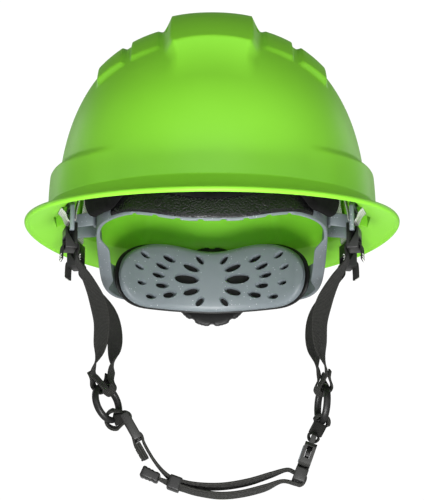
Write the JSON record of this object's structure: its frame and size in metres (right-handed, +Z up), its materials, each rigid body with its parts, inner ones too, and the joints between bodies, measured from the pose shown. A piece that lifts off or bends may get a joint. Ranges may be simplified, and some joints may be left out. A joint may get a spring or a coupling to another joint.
{
  "type": "climbing helmet",
  "caption": "Full-brim safety helmet with ribbed crown, ratchet nape suspension and a forked chin strap with side-release buckle.",
  "frame": {"origin": "middle of the head opening at the height of the brim's side edges", "axes": "+Z up through the crown, -Y towards the face, +X towards the wearer's left"},
  "size_m": [0.2618, 0.3094, 0.3371],
  "materials": {
    "shell_green": "satin moulded plastic",
    "suspension_grey": "fine satin moulding",
    "black_plastic": "satin moulding",
    "black_foam": "matte brushed foam",
    "pebbled_vinyl": "pebbled, slight gloss",
    "black_webbing": "ribbed weave",
    "pale_webbing": "plain weave",
    "screw_steel": "plain"
  },
  "bodies": {
    "helmet": {"shell": "shell_green", "headband": "suspension_grey", "nape_pad": "suspension_grey", "sweatband": "pebbled_vinyl", "brow_cushion": "black_foam", "crown_pad": "black_foam", "sweatband_stud_left": "black_plastic", "sweatband_stud_right": "black_plastic", "nape_backing": "black_plastic", "ratchet_housing": "black_plastic", "crown_strap_front_left": "pale_webbing", "crown_strap_front_right": "pale_webbing", "suspension_key_front_left": "suspension_grey", "hanger_front_left": "suspension_grey", "strap_hook_front_left": "black_plastic", "side_strap_front_left": "black_webbing", "suspension_key_front_right": "suspension_grey", "hanger_front_right": "suspension_grey", "strap_hook_front_right": "black_plastic", "side_strap_front_right": "black_webbing", "suspension_key_rear_left": "suspension_grey", "hanger_rear_left": "suspension_grey", "strap_hook_rear_left": "black_plastic", "side_strap_rear_left": "black_webbing", "suspension_key_rear_right": "suspension_grey", "hanger_rear_right": "suspension_grey", "strap_hook_rear_right": "black_plastic", "side_strap_rear_right": "black_webbing"},
    "chin_right": {"divider_ring_right": "black_plastic", "link_webbing_right": "black_webbing", "ladder_lock": "black_plastic", "chin_webbing": "black_webbing", "pull_tab": "black_plastic"},
    "chin_left": {"divider_ring_left": "black_plastic", "link_webbing_left": "black_webbing", "buckle_female": "black_plastic"},
    "buckle_plug": {"buckle_male": "black_plastic"},
    "prong_front": {"buckle_prong_front": "black_plastic"},
    "prong_rear": {"buckle_prong_rear": "black_plastic"},
    "keeper": {"strap_keeper": "black_plastic"},
    "knob": {"ratchet_knob": "black_plastic", "ratchet_pinion": "black_plastic", "knob_screw": "screw_steel"},
    "rack_l": {"rack_left": "suspension_grey"},
    "rack_r": {"rack_right": "suspension_grey"}
  },
  "joints": [
    {"name": "chin_swing", "type": "hinge", "parent": "helmet", "child": "chin_right", "pos_m": [-0.075, 0, -0.113], "axis": [1, 0, 0], "range_deg": [-50, 40], "deforming": ["side_strap_front_right", "side_strap_rear_right"]},
    {"name": "buckle_side_swing", "type": "hinge", "parent": "helmet", "child": "chin_left", "pos_m": [0.077, 0, -0.113], "axis": [1, 0, 0], "range_deg": [-50, 40], "deforming": ["side_strap_front_left", "side_strap_rear_left"]},
    {"name": "buckle_release", "type": "slide", "parent": "chin_right", "child": "buckle_plug", "axis": [-0.3401, 0, -0.9404], "range_m": [0, 0.018], "deforming": ["chin_webbing", "buckle_prong_front", "buckle_prong_rear"]},
    {"name": "prong_front_squeeze", "type": "hinge", "parent": "buckle_plug", "child": "prong_front", "pos_m": [0.06234, -0.0067, -0.16906], "axis": [-0.9404, 0, 0.3401], "range_deg": [-8, 0], "stiffness_Nm_per_rad": 0.05},
    {"name": "prong_rear_squeeze", "type": "hinge", "parent": "buckle_plug", "child": "prong_rear", "pos_m": [0.06234, 0.0067, -0.16906], "axis": [-0.9404, 0, 0.3401], "range_deg": [0, 8], "stiffness_Nm_per_rad": 0.05},
    {"name": "keeper_slide", "type": "slide", "parent": "chin_right", "child": "keeper", "axis": [0.9404, 0, -0.3401], "range_m": [-0.003, 0.004]},
    {"name": "knob_turn", "type": "hinge", "parent": "helmet", "child": "knob", "pos_m": [0, 0.108, -0.0215], "axis": [0, 1, 0], "range_deg": [-110, 110]},
    {"name": "rack_left_slide", "type": "slide", "parent": "helmet", "child": "rack_l", "axis": [1, 0, 0], "range_m": [-0.012, 0.012]},
    {"name": "rack_right_slide", "type": "slide", "parent": "helmet", "child": "rack_r", "axis": [1, 0, 0], "range_m": [-0.012, 0.012]}
  ],
  "couplings": [
    {"joint": "buckle_side_swing", "follows": "chin_swing", "ratio": 1},
    {"joint": "rack_left_slide", "follows": "knob_turn", "m_per_rad": 0.006},
    {"joint": "rack_right_slide", "follows": "knob_turn", "m_per_rad": -0.006},
    {"joint": "prong_rear_squeeze", "follows": "prong_front_squeeze", "ratio": -1}
  ]
}
